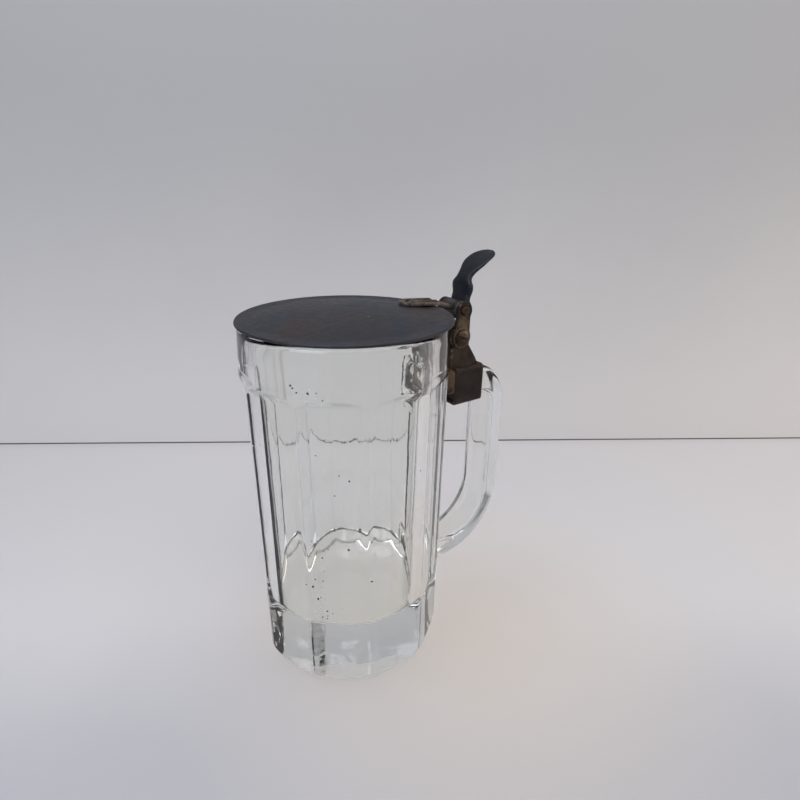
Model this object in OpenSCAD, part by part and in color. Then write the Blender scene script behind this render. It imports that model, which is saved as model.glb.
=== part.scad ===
// Lidded pressed-glass beer mug: ten flat panels under a round band, a cast-on handle and a
// hinged metal lid clamped to the handle. Millimetres, +Z up. The origin is the middle of the
// foot on the table, +X runs through the handle.

/* [Glass body] */
// Height of the glass from table to rim
mug_height = 150; // [140:1:165]
// Outside radius at the foot end of the panels
foot_radius = 40.8; // [39:0.1:42]
// Outside radius just under the band
shoulder_radius = 42.6; // [41.5:0.1:44]
// Outside radius at the rim
rim_radius = 41.8; // [40.5:0.1:43]
// Number of flat panels
panel_count = 10; // [10:2:12]
// Height where the panels start to run out into the band
panel_top = 127; // [115:1:130]
// Radius of the run-out at the top of a panel
panel_runout = 5; // [4:0.5:7]
// Panel distance from the axis as a share of the round radius
panel_depth = 0.955; // [0.953:0.001:0.965]
// Thickness of the solid glass base
base_thickness = 28.5; // [20:0.5:32]
// Inside radius at the rim
bore_top_radius = 37.5; // [36:0.1:38]
// Inside radius at the floor
bore_floor_radius = 35.4; // [33:0.1:36]
// Rounding of the foot edge
foot_round = 5.2; // [3:0.1:6]

/* [Handle] */
// Height of the middle of the upper arm
handle_top = 115; // [112:0.5:117]
// Radius of the upper bend
handle_bend_top = 14.2; // [13:0.1:15]
// Radius of the lower bend
handle_bend_low = 30.2; // [28:0.1:31]
// Straight grip between the bends
handle_grip = 45.8; // [44:0.1:47]
// Handle thickness away from the body
handle_thick = 12; // [10:0.5:12.5]
// Handle width
handle_width = 16; // [14:0.5:16]
// Rounding of the handle edges
handle_round = 3.6; // [2:0.1:4.5]

/* [Clamp] */
// Width of the band along the arm
band_length = 16.2; // [13:0.2:16.4]
// Sheet thickness of the band
band_sheet = 1.5; // [1:0.1:1.7]
// Half width of the band across the handle
band_half_width = 10.8; // [10.6:0.1:12]
// Sheet thickness of the two cheeks
cheek_sheet = 1.6; // [1.2:0.1:1.8]
// Radius of the round eye of each cheek
eye_radius = 4.2; // [3.8:0.1:4.4]

/* [Hinge and lid] */
// Distance of the hinge pin from the mug axis
hinge_x = 57.7; // [57:0.1:58.5]
// Height of the hinge pin above the table
hinge_z = 148.1; // [147.8:0.1:148.6]
// Radius of the hinge pin
pin_radius = 1.8; // [1.4:0.1:2]
// Running clearance of the knuckle on the pin
pin_play = 0.05; // [0.02:0.01:0.09]
// Radius of the lid
lid_radius = 43.5; // [42.5:0.1:44]
// Sheet thickness of the lid
lid_sheet = 1.1; // [0.8:0.1:1.2]
// Rise of the lid at its middle
lid_dome = 3; // [2:0.1:4]
// Width of the strap on the lid
strap_width = 7.6; // [6:0.2:8]
// Width of the thumb lift at its foot
lift_foot = 11.2; // [9:0.2:11.2]
// Width of the thumb lift leaf
lift_leaf = 13.8; // [11:0.2:15]

/* [Hidden] */
$fn = 96;
round_fn = 128;
small_fn = 40;
eps = 0.01;
gap = 0.05;
over = 2;
panel_angle = 360 / panel_count;
runout_rise = panel_runout + over;
rim_wall = rim_radius - bore_top_radius;
rim_round = rim_wall / 2;
rim_shoulder = mug_height - rim_round;
bore_round = 2;
bore_drop = bore_floor_radius + (bore_top_radius - bore_floor_radius) * bore_round / 120;
// handle path, in the plane of the arm
arm_inside = 38;
arm_end = 66.6;
grip_x = arm_end + handle_bend_top;
grip_top_z = handle_top - handle_bend_top;
low_bend_x = grip_x - handle_bend_low;
low_bend_z = grip_top_z - handle_grip;
foot_arm_z = low_bend_z - handle_bend_low;
fillet_under_arm = 7;
fillet_over_arm = 4;
fillet_width = handle_width - 2 * handle_round;
wall_at_arm = 41.8;
// clamp
band_x = 51.8;
band_low = 104.6;
band_high = 122.9;
packing_half = band_half_width - band_sheet;
cheek_in = 5.8;
cheek_out = cheek_in + cheek_sheet;
cheek_flare = 2;
cheek_low = band_high;
flare_start = 131.5;
screw_x = 56.2;
screw_z = 136.1;
screw_radius = 1.75;
screw_head = 3.8;
screw_head_high = 1.7;
slot_wide = 1;
slot_deep = 0.9;
slot_tilt = -18;
washer_radius = 5;
washer_high = 0.7;
nut_flat = 6.4;
nut_high = 2.6;
pin_head = 2.5;
pin_head_high = 1;
block_in = 51.2;
block_out = 61;
block_top = 141.4;
// lid
lid_x = 1;
lid_under = mug_height + 0.15;
lid_top = lid_under + lid_sheet;
dome_edge = 37;
dome_radius = (dome_edge * dome_edge + lid_dome * lid_dome) / (2 * lid_dome);
bead = 0.65;
strap_sheet = 1.5;
strap_tip = 27.5;
strap_knee = 46;
strap_hip = 55.5;
strap_lift = 0.12;
strap_tip_z = lid_top + 1.6;
strap_knee_z = lid_top + strap_lift;
strap_hip_z = hinge_z + 0.6;
ridge_radius = 0.85;
ridge_side = 2.35;
rivet_x = [32, 41];
rivet_radius = 1;
rivet_head = 1.6;
rivet_head_high = 0.7;
knuckle_half = 5.6;
lift_curve_x = 87.4;
lift_curve_z = 146.3;
lift_curve = 27;
lift_thick = 3.4;
lift_thin = 1.9;
leaf_angle = 121;
leaf_pitch = 33;
lift_waist = 7.4;
neck_low = 159.2;
neck_high = 164;
foot_high = 156.2;
leaf_start = -12.6;
leaf_wide = -3.5;
leaf_back = -1.4;

// ---- glass ----

module outer_profile() {
  difference() {
    union() {
      polygon([[0, 0], [foot_radius - foot_round, 0], [foot_radius, foot_round],
               [shoulder_radius, panel_top + 2], [rim_radius, rim_shoulder], [0, rim_shoulder]]);
      translate([foot_radius - foot_round, foot_round]) circle(foot_round);
      translate([rim_radius - rim_round, rim_shoulder]) circle(rim_round, $fn = small_fn);
    }
    translate([-2 * foot_radius, -mug_height]) square([2 * foot_radius, 3 * mug_height]);
  }
}

module bore_profile() {
  difference() {
    union() {
      polygon([[0, base_thickness], [bore_floor_radius - bore_round, base_thickness],
               [bore_drop, base_thickness + bore_round], [bore_top_radius, rim_shoulder],
               [bore_top_radius, mug_height + over], [0, mug_height + over]]);
      translate([bore_drop - bore_round, base_thickness + bore_round])
        circle(bore_round, $fn = small_fn);
    }
    translate([-2 * foot_radius, 0]) square([2 * foot_radius, 2 * mug_height]);
  }
}

module panel_cut() {
  low = foot_radius * panel_depth;
  high = shoulder_radius * panel_depth;
  rotate([90, 0, 0])
    linear_extrude(height = 30, center = true)
      union() {
        polygon([[low, -over], [high, panel_top], [high + 2 * panel_runout, panel_top],
                 [high + 2 * panel_runout, -over]]);
        translate([high + panel_runout, panel_top]) circle(panel_runout, $fn = 64);
      }
}

module handle_section(grow = 0) {
  t = handle_thick + 2 * grow;
  w = handle_width + 2 * grow;
  r = handle_round + grow;
  union() {
    square([t - 2 * r, w], center = true);
    square([t, w - 2 * r], center = true);
    for (sx = [-1, 1])
      for (sy = [-1, 1])
        translate([sx * (t / 2 - r), sy * (w / 2 - r)]) circle(r, $fn = small_fn);
  }
}

module straight_bar(x, z, heading, length, grow) {
  translate([x, 0, z])
    rotate([0, 90 - heading, 0])
      linear_extrude(height = length)
        handle_section(grow);
}

module bent_bar(x, z, radius, from, grow) {
  translate([x, 0, z])
    rotate([90, 0, 0])
      rotate([0, 0, from])
        rotate_extrude(angle = 90, $fn = round_fn)
          translate([radius, 0]) handle_section(grow);
}

module handle_bar(grow = 0) {
  union() {
    straight_bar(arm_inside, handle_top, 0, arm_end - arm_inside, grow);
    bent_bar(arm_end, grip_top_z, handle_bend_top, 0, grow);
    straight_bar(grip_x, low_bend_z, 90, handle_grip, grow);
    bent_bar(low_bend_x, low_bend_z, handle_bend_low, -90, grow);
    straight_bar(arm_inside, foot_arm_z, 0, low_bend_x - arm_inside, grow);
  }
}

module root_fillet(z, size, way) {
  translate([wall_at_arm, 0, z])
    scale([1, 1, way])
      rotate([90, 0, 0])
        linear_extrude(height = fillet_width, center = true)
          difference() {
            translate([-over, -over / 2]) square([size + over, size + over / 2]);
            translate([size, size]) circle(size, $fn = 64);
          }
}

module glass_mug() {
  color([0.85, 0.92, 0.88, 0.6])
    difference() {
      union() {
        difference() {
          rotate_extrude($fn = round_fn) outer_profile();
          for (k = [0 : panel_count - 1])
            rotate([0, 0, (k + 0.5) * panel_angle]) panel_cut();
        }
        handle_bar();
        root_fillet(handle_top - handle_thick / 2, fillet_under_arm, -1);
        root_fillet(handle_top + handle_thick / 2, fillet_over_arm, 1);
        root_fillet(foot_arm_z + handle_thick / 2, fillet_under_arm, 1);
        root_fillet(foot_arm_z - handle_thick / 2, fillet_over_arm, -1);
      }
      rotate_extrude($fn = round_fn) bore_profile();
    }
}

// ---- clamp on the handle ----

module handle_packing() {
  color([0.45, 0.33, 0.22])
    difference() {
      translate([band_x + 0.4, -packing_half, band_low + band_sheet])
        cube([band_length - 0.8, 2 * packing_half, band_high - band_low - 2 * band_sheet]);
      handle_bar(gap);
    }
}

module clamp_band() {
  color([0.22, 0.19, 0.16])
    difference() {
      translate([band_x, -band_half_width, band_low])
        cube([band_length, 2 * band_half_width, band_high - band_low]);
      translate([band_x - over, -packing_half, band_low + band_sheet])
        cube([band_length + 2 * over, 2 * packing_half,
              band_high - band_low - 2 * band_sheet]);
      for (side = [-1, 1])
        translate([band_x - over, side * band_half_width, band_low])
          rotate([45, 0, 0])
            translate([0, -over, -over / 2])
              cube([band_length + 2 * over, 2 * over, over]);
    }
}

module saddle_block() {
  color([0.3, 0.25, 0.2])
    difference() {
      translate([block_in, -cheek_in + gap, band_high])
        cube([block_out - block_in, 2 * (cheek_in - gap), block_top - band_high]);
      translate([screw_x, 0, screw_z])
        rotate([90, 0, 0])
          cylinder(h = 4 * cheek_in, r = screw_radius + gap, center = true, $fn = small_fn);
      translate([hinge_x, 0, hinge_z])
        rotate([90, 0, 0])
          cylinder(h = 4 * cheek_in, r = eye_radius + 3, center = true);
    }
}

module cheek_slab() {
  linear_extrude(height = 4 * cheek_out, center = true) children();
}

module cheek_face() {
  union() {
    translate([hinge_x, hinge_z, 0]) cheek_slab() circle(eye_radius);
    translate([screw_x, screw_z, 0]) cheek_slab() circle(5.3);
    cheek_slab()
      polygon([[hinge_x - 3.6, hinge_z], [hinge_x + 3.4, hinge_z],
               [screw_x + 4.9, screw_z + 3], [screw_x + 4.9, flare_start],
               [65.2, cheek_low], [48.6, cheek_low],
               [screw_x - 4.9, flare_start], [screw_x - 4.9, screw_z + 3]]);
  }
}

module cheek_bend() {
  polygon([[cheek_in, hinge_z + 2 * eye_radius], [cheek_in, flare_start],
           [cheek_in + cheek_flare, cheek_low], [cheek_out + cheek_flare, cheek_low],
           [cheek_out, flare_start], [cheek_out, hinge_z + 2 * eye_radius]]);
}

module cheek(side) {
  difference() {
    intersection() {
      rotate([90, 0, 0]) cheek_face();
      translate([band_x - 10, 0, 0])
        scale([1, side, 1])
          rotate([90, 0, 90])
            linear_extrude(height = 40) cheek_bend();
    }
    translate([hinge_x, 0, hinge_z])
      rotate([90, 0, 0])
        cylinder(h = 4 * cheek_out, r = pin_radius + eps, center = true, $fn = small_fn);
    translate([screw_x, 0, screw_z])
      rotate([90, 0, 0])
        cylinder(h = 4 * cheek_out, r = screw_radius + gap, center = true, $fn = small_fn);
  }
}

module near_cheek() {
  color([0.36, 0.3, 0.22]) cheek(-1);
}

module far_cheek() {
  color([0.34, 0.28, 0.21]) cheek(1);
}

module clamp_washer() {
  color([0.4, 0.35, 0.27])
    translate([screw_x, -cheek_out, screw_z])
      rotate([90, 0, 0])
        difference() {
          cylinder(h = washer_high, r = washer_radius);
          translate([0, 0, -over]) cylinder(h = 2 * over, r = screw_radius + gap, $fn = small_fn);
        }
}

module clamp_screw() {
  head_face = cheek_out + washer_high;
  shank = head_face + cheek_out + nut_high + 0.6;
  color([0.45, 0.4, 0.32])
    translate([screw_x, -head_face, screw_z])
      rotate([90, 0, 0])
        difference() {
          union() {
            translate([0, 0, -shank]) cylinder(h = shank + eps, r = screw_radius, $fn = small_fn);
            cylinder(h = screw_head_high - 0.5, r = screw_head);
            translate([0, 0, screw_head_high - 0.5])
              cylinder(h = 0.5, r1 = screw_head, r2 = screw_head - 0.8);
          }
          rotate([0, 0, slot_tilt])
            translate([-screw_head - over, -slot_wide / 2, screw_head_high - slot_deep])
              cube([2 * (screw_head + over), slot_wide, slot_deep + over]);
        }
}

module clamp_nut() {
  color([0.4, 0.34, 0.26])
    translate([screw_x, cheek_out + nut_high / 2, screw_z])
      rotate([90, 0, 0])
        difference() {
          intersection() {
            cube([nut_flat, 3 * nut_flat, nut_high], center = true);
            rotate([0, 0, 60]) cube([nut_flat, 3 * nut_flat, nut_high], center = true);
            rotate([0, 0, 120]) cube([nut_flat, 3 * nut_flat, nut_high], center = true);
          }
          cylinder(h = 4 * nut_high, r = screw_radius + eps, center = true, $fn = small_fn);
        }
}

module hinge_pin() {
  color([0.42, 0.3, 0.2])
    translate([hinge_x, 0, hinge_z])
      rotate([90, 0, 0])
        union() {
          cylinder(h = 2 * cheek_out, r = pin_radius, center = true, $fn = small_fn);
          for (side = [-1, 1])
            scale([1, 1, side])
              translate([0, 0, cheek_out])
                cylinder(h = pin_head_high, r1 = pin_head, r2 = pin_head - 0.8, $fn = small_fn);
        }
}

// ---- lid ----

module rivet_holes() {
  for (x = rivet_x)
    translate([x, 0, lid_under - over])
      cylinder(h = 12, r = rivet_radius + gap, $fn = small_fn);
}

module lid_disc() {
  dome_low = lid_top + lid_dome - dome_radius;
  color([0.2, 0.21, 0.24])
    difference() {
      translate([lid_x, 0, 0])
        rotate_extrude($fn = round_fn)
          union() {
            translate([dome_edge, lid_under])
              square([lid_radius - bead - dome_edge, lid_sheet]);
            translate([lid_radius - bead, lid_under + bead]) circle(bead, $fn = 32);
            intersection() {
              difference() {
                translate([0, dome_low]) circle(dome_radius, $fn = 720);
                translate([0, dome_low - lid_sheet]) circle(dome_radius, $fn = 720);
              }
              translate([0, lid_under]) square([dome_edge, 2 * lid_dome + lid_sheet]);
            }
          }
      rivet_holes();
    }
}

module strap_side() {
  polygon([[strap_tip, strap_tip_z], [strap_knee, strap_knee_z], [strap_hip, strap_hip_z],
           [strap_hip, strap_hip_z + strap_sheet], [strap_knee, strap_knee_z + strap_sheet],
           [strap_tip, strap_tip_z + strap_sheet]]);
}

module strap_plan() {
  half = strap_width / 2;
  union() {
    translate([strap_tip + half, 0]) circle(half);
    translate([strap_tip + half, -half]) square([strap_hip - strap_tip, strap_width]);
  }
}

module strap_ridge(side) {
  fall = atan((strap_tip_z - strap_knee_z) / (strap_knee - strap_tip));
  run = (strap_knee - strap_tip - 3) / cos(fall);
  translate([strap_tip + 3, side * ridge_side, strap_tip_z + strap_sheet - 3 * tan(fall)])
    rotate([0, 90 + fall, 0])
      cylinder(h = run, r = ridge_radius, $fn = small_fn);
}

module lid_strap() {
  color([0.33, 0.3, 0.28])
    difference() {
      union() {
        intersection() {
          rotate([90, 0, 0])
            linear_extrude(height = 2 * strap_width, center = true) strap_side();
          translate([0, 0, lid_under]) linear_extrude(height = 20) strap_plan();
          translate([0, 0, hinge_z - 10]) linear_extrude(height = 30) strap_plan();
        }
        intersection() {
          rotate([90, 0, 0])
            linear_extrude(height = strap_width, center = true) strap_side();
          translate([strap_knee - over, -strap_width / 2, hinge_z - 10])
            cube([30, strap_width, 30]);
        }
        for (side = [-1, 1]) strap_ridge(side);
      }
      rivet_holes();
      translate([hinge_x, 0, hinge_z])
        rotate([90, 0, 0])
          cylinder(h = 4 * strap_width, r = eye_radius + eps, center = true);
    }
}

module rivet(x) {
  fall = (strap_tip_z - strap_knee_z) / (strap_knee - strap_tip);
  seat = strap_tip_z + strap_sheet - (x - rivet_head - strap_tip) * fall;
  translate([x, 0, 0])
    union() {
      translate([0, 0, lid_under - 0.1])
        cylinder(h = seat - lid_under + 0.2, r = rivet_radius, $fn = small_fn);
      translate([0, 0, seat])
        cylinder(h = rivet_head_high, r1 = rivet_head, r2 = rivet_head - 0.6, $fn = small_fn);
    }
}

module strap_rivets() {
  color([0.25, 0.22, 0.2])
    for (x = rivet_x) rivet(x);
}

module lid_knuckle() {
  color([0.3, 0.28, 0.27])
    translate([hinge_x, 0, hinge_z])
      rotate([90, 0, 0])
        difference() {
          cylinder(h = 2 * knuckle_half, r = eye_radius, center = true);
          cylinder(h = 4 * knuckle_half, r = pin_radius + pin_play, center = true,
                   $fn = small_fn);
        }
}

module lift_side() {
  intersection() {
    difference() {
      translate([lift_curve_x, lift_curve_z]) circle(lift_curve + lift_thick / 2, $fn = 180);
      translate([lift_curve_x + (lift_thick - lift_thin) / 2, lift_curve_z - 0.6])
        circle(lift_curve - lift_thin / 2, $fn = 180);
    }
    polygon([[hinge_x, hinge_z], [hinge_x + 6, hinge_z], [90, 160], [90, 190],
             [hinge_x - 2, 190]]);
  }
}

module lift_plan() {
  // lower part seen from the mug side
  rotate([90, 0, 90])
    linear_extrude(height = 120)
      polygon([[-lift_foot / 2, hinge_z - over], [lift_foot / 2, hinge_z - over],
               [lift_foot / 2, foot_high], [lift_waist / 2, neck_low],
               [lift_waist / 2, neck_high], [-lift_waist / 2, neck_high],
               [-lift_waist / 2, neck_low], [-lift_foot / 2, foot_high]]);
  // leaf seen square on
  translate([lift_curve_x + lift_curve * cos(leaf_angle), 0,
             lift_curve_z + lift_curve * sin(leaf_angle)])
    rotate([0, -leaf_pitch, 0])
      linear_extrude(height = 12, center = true)
        union() {
          translate([leaf_back, 0]) circle(lift_leaf / 2);
          polygon([[leaf_start, -lift_waist / 2 + 0.2], [leaf_wide, -lift_leaf / 2 + 0.35],
                   [leaf_wide, lift_leaf / 2 - 0.35], [leaf_start, lift_waist / 2 - 0.2]]);
        }
}

module thumb_lift() {
  color([0.13, 0.14, 0.18])
    difference() {
      intersection() {
        rotate([90, 0, 0])
          linear_extrude(height = 2 * lift_leaf, center = true) lift_side();
        lift_plan();
      }
      translate([hinge_x, 0, hinge_z])
        rotate([90, 0, 0])
          cylinder(h = 3 * lift_leaf, r = eye_radius + eps, center = true);
    }
}

glass_mug();
handle_packing();
clamp_band();
saddle_block();
near_cheek();
far_cheek();
clamp_screw();
clamp_washer();
clamp_nut();
hinge_pin();
lid_disc();
lid_strap();
strap_rivets();
lid_knuckle();
thumb_lift();
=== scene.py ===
import math
import random
import bmesh
import bpy
from mathutils import Matrix, Vector, noise


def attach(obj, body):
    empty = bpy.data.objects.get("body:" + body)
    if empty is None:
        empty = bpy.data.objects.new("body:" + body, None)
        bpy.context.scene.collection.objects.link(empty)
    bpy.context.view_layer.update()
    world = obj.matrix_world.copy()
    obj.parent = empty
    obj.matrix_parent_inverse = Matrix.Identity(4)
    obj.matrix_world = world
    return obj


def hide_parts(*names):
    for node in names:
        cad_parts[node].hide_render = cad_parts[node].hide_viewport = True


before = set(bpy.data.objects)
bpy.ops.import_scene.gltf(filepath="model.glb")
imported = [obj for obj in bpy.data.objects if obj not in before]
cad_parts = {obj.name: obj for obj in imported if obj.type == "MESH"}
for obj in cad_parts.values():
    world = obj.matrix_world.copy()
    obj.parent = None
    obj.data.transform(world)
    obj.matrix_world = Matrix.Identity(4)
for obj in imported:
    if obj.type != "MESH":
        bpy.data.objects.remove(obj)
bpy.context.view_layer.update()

mm = 0.001  # every size below is in millimetres and is scaled once, when a piece is finished
pinAt = (57.7, 148.1)  # x and z of the hinge pin, which lies along Y
screwAt = (56.2, 136.1)  # x and z of the clamp screw
knuckleClear = 4.21  # bore that leaves room for the knuckle
shankBore = 1.8  # bore for the pin and the screw
rivetAt = (32, 41)  # x of the two strap rivets
rivetBore = 1.05


def hexColour(code):
    # sRGB hex to the linear values that Blender's sockets take
    channels = [int(code[i:i + 2], 16) / 255 for i in (1, 3, 5)]
    return tuple(c / 12.92 if c <= 0.04045 else ((c + 0.055) / 1.055) ** 2.4 for c in channels) + (1.0,)


def addNode(tree, kind, settings=None, links=None):
    node = tree.nodes.new(kind)
    for key, value in (settings or {}).items():
        if isinstance(key, int) or key in node.inputs:
            node.inputs[key].default_value = value
        else:
            setattr(node, key, value)
    for socket, source in (links or {}).items():
        tree.links.new(source, node.inputs[socket])
    return node


def mixColour(tree, factor, first, second):
    # each colour is a hex code or the output of another node
    node = addNode(tree, "ShaderNodeMix", {"data_type": "RGBA"}, {0: factor})
    for socket, colour in ((6, first), (7, second)):
        if isinstance(colour, str):
            node.inputs[socket].default_value = hexColour(colour)
        else:
            tree.links.new(colour, node.inputs[socket])
    return node


def addBump(tree, shader, height, strength, distance):
    bump = addNode(tree, "ShaderNodeBump", {"Strength": strength, "Distance": distance}, {"Height": height})
    tree.links.new(bump.outputs["Normal"], shader.inputs["Normal"])


def smoothStep(low, high, value):
    t = min(max((value - low) / (high - low), 0.0), 1.0)
    return t * t * (3 - 2 * t)


def softMin(a, b, blend):
    h = max(blend - abs(a - b), 0.0) / blend
    return min(a, b) - h * h * blend / 4


def softMax(a, b, blend):
    return -softMin(-a, -b, blend)


def arcPoints(centreX, centreZ, radius, start, stop, count):
    # points on an arc in the XZ plane, angles in degrees from +X
    angles = [math.radians(start + (stop - start) * i / count) for i in range(count + 1)]
    return [(centreX + radius * math.cos(a), centreZ + radius * math.sin(a)) for a in angles]


def stepsBetween(first, last, count):
    # points after the first, up to and with the last
    return [(first[0] + (last[0] - first[0]) * i / count, first[1] + (last[1] - first[1]) * i / count)
            for i in range(1, count + 1)]


def chain(bm, points, closed=False):
    # a line of vertices in the XZ plane
    verts = [bm.verts.new((x, 0, z)) for x, z in points]
    edges = [bm.edges.new(pair) for pair in zip(verts, verts[1:])]
    if closed:
        edges.append(bm.edges.new((verts[-1], verts[0])))
    return verts + edges


def spunRound(points, steps, closed=False):
    # turns a profile of (radius, height) all the way round Z
    bm = bmesh.new()
    bmesh.ops.spin(bm, geom=chain(bm, points, closed), axis=(0, 0, 1), cent=(0, 0, 0),
                   angle=math.tau, steps=steps, use_merge=True)
    bmesh.ops.remove_doubles(bm, verts=bm.verts, dist=0.0005)
    bmesh.ops.recalc_face_normals(bm, faces=bm.faces)
    return bm


def layAlongY(bm, x, z):
    # a piece made round Z is laid along -Y at x, z
    bmesh.ops.rotate(bm, verts=bm.verts, cent=(0, 0, 0), matrix=Matrix.Rotation(math.radians(90), 3, "X"))
    bmesh.ops.translate(bm, verts=bm.verts, vec=(x, 0, z))


def bevelSharp(bm, width, segments=3, angle=40):
    edges = [e for e in bm.edges if e.is_manifold and e.calc_face_angle(0) > math.radians(angle)]
    bmesh.ops.bevel(bm, geom=edges, offset=width, offset_type="OFFSET", affect="EDGES", segments=segments,
                    profile=0.5, material=-1, clamp_overlap=True)


def dentSheet(bm, depth, size, seed):
    # hand-worked sheet is never quite flat
    bm.normal_update()
    shift = Vector((seed * 13.7, seed * 5.1, seed * 9.3))
    moves = [v.normal * depth * noise.noise(v.co / size + shift) for v in bm.verts]
    for v, move in zip(bm.verts, moves):
        v.co += move


def roundedSection(bm, x, wide, thick, height, corner, segments):
    # a rectangle across X with rounded corners
    corners = [bm.verts.new((x, sy * wide / 2, height + sz * thick / 2))
               for sy, sz in ((-1, -1), (1, -1), (1, 1), (-1, 1))]
    bm.faces.new(corners)
    bmesh.ops.bevel(bm, geom=corners, offset=corner, offset_type="OFFSET", affect="VERTICES",
                    segments=segments,
                    profile=0.5, material=-1)


def makePiece(name, bm, material, body, nodes, sharp=32):
    mesh = bpy.data.meshes.new(name)
    bmesh.ops.scale(bm, vec=(mm, mm, mm), verts=bm.verts)
    bm.to_mesh(mesh)
    bm.free()
    mesh.shade_smooth()
    mesh.set_sharp_from_angle(angle=math.radians(sharp))
    mesh.materials.append(material)
    piece = bpy.data.objects.new(name, mesh)
    bpy.context.scene.collection.objects.link(piece)
    if body:
        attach(piece, body)
        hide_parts(*nodes)
    return piece


def cutWith(piece, tool, operation="DIFFERENCE", sharp=32):
    # a boolean with a throwaway tool, applied at once
    cut = piece.modifiers.new("cut", "BOOLEAN")
    cut.operation = operation
    cut.solver = "MANIFOLD"
    cut.object = tool
    shaped = bpy.data.meshes.new_from_object(piece.evaluated_get(bpy.context.evaluated_depsgraph_get()))
    old = piece.data
    shaped.name = old.name
    piece.modifiers.clear()
    piece.data = shaped
    bpy.data.meshes.remove(old)
    bpy.data.objects.remove(tool)
    piece.data.shade_smooth()
    piece.data.set_sharp_from_angle(angle=math.radians(sharp))


def rodTool(radius, low, high, x, z, steps=40):
    # a plain rod along Y, only used to cut bores
    bm = bmesh.new()
    bmesh.ops.create_cone(bm, cap_ends=True, segments=steps, radius1=radius, radius2=radius, depth=high - low)
    bmesh.ops.translate(bm, verts=bm.verts, vec=(0, 0, -(high + low) / 2))
    layAlongY(bm, x, z)
    return makePiece("tool", bm, None, None, None)


def cutRivetHoles(piece, z):
    for x in rivetAt:
        bm = bmesh.new()
        bmesh.ops.create_cone(bm, cap_ends=True, segments=32, radius1=rivetBore, radius2=rivetBore, depth=12)
        bmesh.ops.translate(bm, verts=bm.verts, vec=(x, 0, z))
        cutWith(piece, makePiece("tool", bm, None, None, None))


# ---- camera ----

cameraSettings = {
    "place": (-108.0, -193.2, 202.2),
    "turn": (68.56, -0.7, -34.86),  # degrees
    "lens": 25.2,  # a phone held close, on a 36 mm frame
}


def addCamera(s):
    data = bpy.data.cameras.new("viewCamera")
    data.lens = s["lens"]
    data.sensor_width = 36
    data.clip_start = 0.01
    data.clip_end = 20
    camera = bpy.data.objects.new("viewCamera", data)
    camera.location = [v * mm for v in s["place"]]
    camera.rotation_euler = [math.radians(v) for v in s["turn"]]
    bpy.context.scene.collection.objects.link(camera)
    bpy.context.scene.camera = camera


addCamera(cameraSettings)
print("camera placed")


# ---- materials ----

def startMaterial(name):
    material = bpy.data.materials.new(name)
    material.use_nodes = True
    tree = material.node_tree
    shader = tree.nodes["Principled BSDF"]
    place = addNode(tree, "ShaderNodeTexCoord").outputs["Object"]
    return material, tree, shader, place


def pressedSodaGlass():
    # soda-lime glass pressed in an iron mould and fire-polished: clear with a faint grey-green cast,
    # slow waves left by the mould in its faces and a dull film inside from years of use
    material, tree, shader, place = startMaterial("pressedSodaGlass")
    shader.inputs["Base Color"].default_value = hexColour("#fafbf9")
    shader.inputs["IOR"].default_value = 1.52
    shader.inputs["Transmission Weight"].default_value = 1.0
    # 18 mm patches
    film = addNode(tree, "ShaderNodeTexNoise", {"Scale": 55.0, "Detail": 3.0}, {"Vector": place})
    rough = addNode(tree, "ShaderNodeMapRange",
                    {"From Min": 0.45, "From Max": 0.75, "To Min": 0.0, "To Max": 0.05},
                    {"Value": film.outputs["Fac"]})
    tree.links.new(rough.outputs["Result"], shader.inputs["Roughness"])
    stretch = addNode(tree, "ShaderNodeMapping", {"Scale": (1.0, 1.0, 0.35)}, {"Vector": place})
    # 6 mm ripples
    waves = addNode(tree, "ShaderNodeTexNoise", {"Scale": 160.0, "Detail": 1.0},
                    {"Vector": stretch.outputs[0]})
    # 1.4 mm mould skin
    skin = addNode(tree, "ShaderNodeTexNoise", {"Scale": 700.0, "Detail": 2.0}, {"Vector": place})
    heights = addNode(tree, "ShaderNodeMath", {"operation": "MULTIPLY_ADD", 1: 0.12},
                      {0: skin.outputs["Fac"], 2: waves.outputs["Fac"]})
    addBump(tree, shader, heights.outputs[0], 0.3, 0.0002)
    dense = addNode(tree, "ShaderNodeVolumeAbsorption", {"Color": hexColour("#d8dfd0"), "Density": 1.6})
    tree.links.new(dense.outputs[0], tree.nodes["Material Output"].inputs["Volume"])
    return material


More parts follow.
